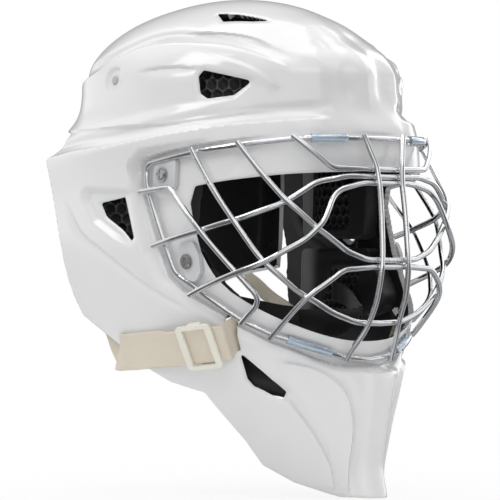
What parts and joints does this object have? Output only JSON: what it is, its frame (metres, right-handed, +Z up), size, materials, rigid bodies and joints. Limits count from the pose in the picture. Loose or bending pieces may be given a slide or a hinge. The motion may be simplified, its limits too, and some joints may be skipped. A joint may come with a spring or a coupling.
{
  "type": "goaltender mask",
  "caption": "Full goaltender mask: hard shell with a welded wire cage over the face port, foam liner, chin cup, strapped back plate and buckled jaw straps.",
  "frame": {"origin": "centre of the head space, on the mask's middle plane", "axes": "+Z up, -Y the way the wearer faces, +X the wearer's left"},
  "size_m": [0.2296, 0.2708, 0.346],
  "materials": {
    "shell_gloss": "thick white gloss paint over moulded shell",
    "plate_gloss": "white gloss",
    "cage_metal": "bright polished stainless wire",
    "sleeve_vinyl": "clear vinyl tube",
    "clip_plastic": "pale moulded plastic",
    "screw_steel": "plated steel",
    "rivet_paint": "pale grey paint",
    "foam_black": "matt black moulded foam",
    "webbing_sand": "woven sand-coloured webbing",
    "webbing_black": "woven black webbing",
    "buckle_cream": "cream moulded plastic",
    "cup_plastic": "black moulded plastic"
  },
  "bodies": {
    "mask": {"shell": "shell_gloss", "cage_rim": "cage_metal", "cage_wire_cheek": "cage_metal", "cage_wire_mid": "cage_metal", "cage_wire_brow": "cage_metal", "cage_wire_eye": "cage_metal", "cage_wire_brace": "cage_metal", "cage_wire_chin": "cage_metal", "cage_wire_temple_right": "cage_metal", "cage_wire_temple_left": "cage_metal", "cage_bar_right": "cage_metal", "cage_bar_left": "cage_metal", "sleeve_top_right": "sleeve_vinyl", "sleeve_top_left": "sleeve_vinyl", "sleeve_bottom_right": "sleeve_vinyl", "sleeve_bottom_left": "sleeve_vinyl", "cage_clip_upper_right": "clip_plastic", "cage_clip_upper_left": "clip_plastic", "cage_clip_lower_right": "clip_plastic", "cage_clip_lower_left": "clip_plastic", "cage_screws": "screw_steel", "cage_nuts": "screw_steel", "strap_rivets": "rivet_paint", "brow_pad": "foam_black", "crown_pad": "foam_black", "temple_pad_right": "foam_black", "temple_pad_left": "foam_black", "cheek_pad_right": "foam_black", "cheek_pad_left": "foam_black", "chin_pad": "foam_black", "jaw_strap_right": "webbing_sand", "jaw_strap_left": "webbing_sand", "crown_strap_right": "webbing_black", "crown_strap_left": "webbing_black", "chin_snaps": "screw_steel"},
    "back": {"back_plate": "plate_gloss", "back_pad": "foam_black"},
    "buckle_right": {"buckle_right": "buckle_cream"},
    "buckle_left": {"buckle_left": "buckle_cream"},
    "chin": {"chin_cup": "cup_plastic", "chin_cup_pad": "foam_black", "chin_sling_right": "webbing_black", "chin_sling_left": "webbing_black"}
  },
  "joints": [
    {"name": "back_hinge", "type": "hinge", "parent": "mask", "child": "back", "pos_m": [0, 0.124, 0.088], "axis": [1, 0, 0], "range_deg": [0, 18], "deforming": ["jaw_strap_right", "jaw_strap_left", "crown_strap_right", "crown_strap_left"]},
    {"name": "buckle_slide_right", "type": "slide", "parent": "mask", "child": "buckle_right", "axis": [0.2661, -0.9567, 0.1182], "range_m": [-0.005, 0.005]},
    {"name": "buckle_slide_left", "type": "slide", "parent": "mask", "child": "buckle_left", "axis": [-0.2661, -0.9567, 0.1182], "range_m": [-0.005, 0.005]},
    {"name": "chin_swing", "type": "hinge", "parent": "mask", "child": "chin", "pos_m": [0, -0.017, -0.033], "axis": [1, 0, 0], "range_deg": [-8, 8]}
  ]
}
